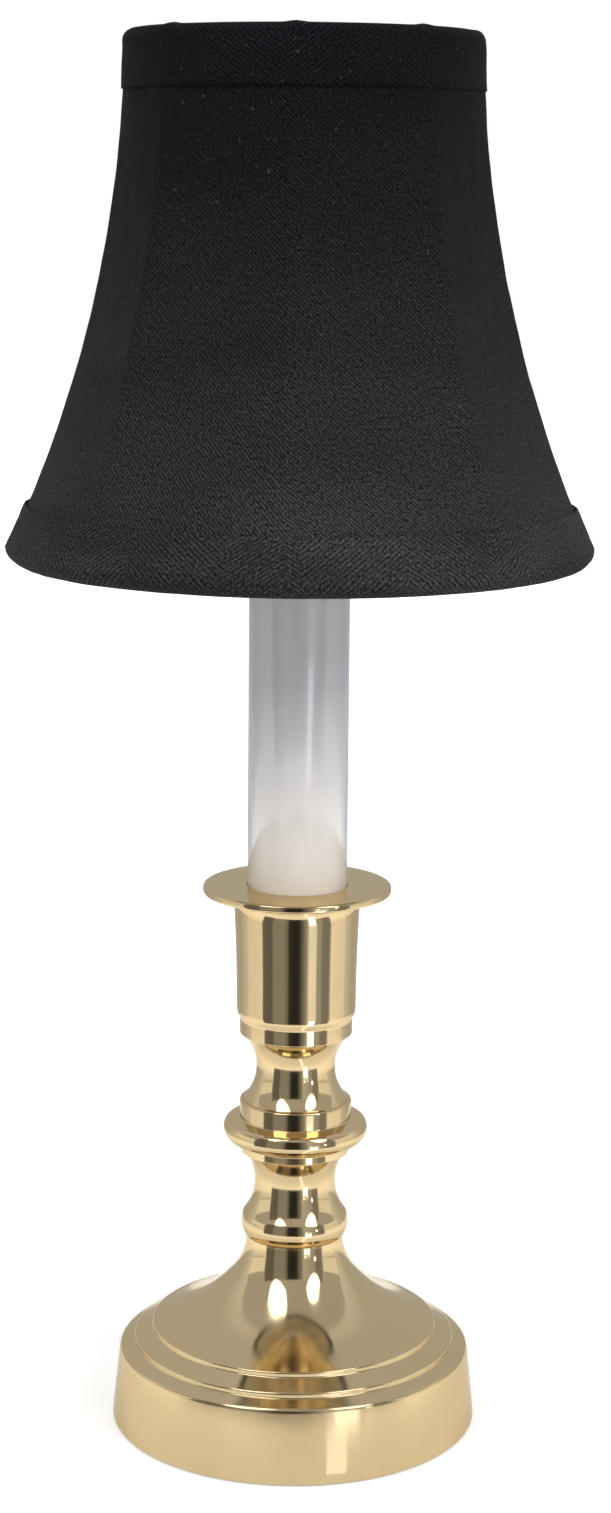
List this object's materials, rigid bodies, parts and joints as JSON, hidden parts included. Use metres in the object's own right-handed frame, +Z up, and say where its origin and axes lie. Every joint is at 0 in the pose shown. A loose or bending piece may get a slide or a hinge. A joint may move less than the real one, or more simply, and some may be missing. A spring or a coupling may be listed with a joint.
{
  "type": "candle lamp with shade",
  "caption": "Turned brass candlestick lamp with a white candle sleeve, torpedo bulb and clip-on ribbed cloth bell shade that tilts.",
  "frame": {"origin": "centre of the felt-covered underside, on the surface that the lamp stands on", "axes": "+Z up the stick's axis, -Y towards the viewer, with the cord bushing at the back on +Y"},
  "size_m": [0.1272, 0.1272, 0.3103],
  "materials": {
    "polished_brass": "polished, satin on the foot",
    "plain_brass": "plain turned",
    "spring_brass": "drawn wire and folded strip, brass plated",
    "zinc_steel": "zinc plated",
    "grey_iron": "rough cast",
    "green_felt": "felted wool",
    "black_nylon": "moulded",
    "clear_nylon": "moulded, translucent",
    "black_phenolic": "moulded",
    "black_wire": "insulated wire",
    "white_wire": "insulated wire",
    "white_gloss": "glossy",
    "solder": "dull solder",
    "black_glass": "black glass",
    "nickel": "nickel plated",
    "clear_glass": "clear",
    "tungsten": "coiled wire",
    "frame_wire": "black enamel",
    "black_cloth": "fine twill",
    "ivory_lining": "smooth lining",
    "black_trim": "herringbone braid"
  },
  "bodies": {
    "stick": {"foot": "polished_brass", "lower_neck": "polished_brass", "knop": "polished_brass", "upper_neck": "polished_brass", "candle_cup": "polished_brass", "stem_pipe": "zinc_steel", "base_weight": "grey_iron", "base_washer": "zinc_steel", "base_nut": "zinc_steel", "cup_nut": "plain_brass", "base_felt": "green_felt", "cord_bushing": "black_nylon", "socket_bracket": "zinc_steel", "bracket_screw": "zinc_steel", "socket_body": "black_phenolic", "screw_shell": "plain_brass", "contact_tongue": "plain_brass", "terminal_screws": "plain_brass", "live_lead": "black_wire", "neutral_lead": "white_wire", "splice_caps": "clear_nylon"},
    "candle_sleeve": {"candle_cover": "white_gloss"},
    "bulb_foot": {"bulb_contact": "solder"},
    "bulb": {"bulb_insulator": "black_glass", "bulb_cap": "nickel", "bulb_glass": "clear_glass", "glass_mount": "clear_glass", "filament_wires": "nickel", "filament": "tungsten"},
    "clip": {"clip_loops": "spring_brass", "clip_saddle": "spring_brass"},
    "shade": {"top_ring": "frame_wire", "bottom_ring": "frame_wire", "shade_ribs": "frame_wire", "cross_bar": "spring_brass", "shade_cover": "black_cloth", "shade_liner": "ivory_lining", "top_band": "black_trim", "bottom_band": "black_trim"}
  },
  "joints": [
    {"name": "sleeve_lift", "type": "slide", "parent": "stick", "child": "candle_sleeve", "axis": [0, 0, 1], "range_m": [0, 0.0035]},
    {"name": "bulb_rise", "type": "slide", "parent": "stick", "child": "bulb_foot", "axis": [0, 0, 1], "range_m": [0, 0.0051]},
    {"name": "bulb_turn", "type": "hinge", "parent": "bulb_foot", "child": "bulb", "pos_m": [0, 0, 0.2], "axis": [0, 0, 1], "range_deg": [0, 720]},
    {"name": "shade_lift", "type": "slide", "parent": "bulb", "child": "clip", "axis": [0, 0, 1], "range_m": [0, 0.1]},
    {"name": "shade_tilt", "type": "hinge", "parent": "clip", "child": "shade", "pos_m": [0, 0, 0.2902], "axis": [1, 0, 0], "range_deg": [-12, 12]}
  ],
  "couplings": [
    {"joint": "bulb_rise", "follows": "bulb_turn", "m_per_rad": 0.00040425}
  ]
}
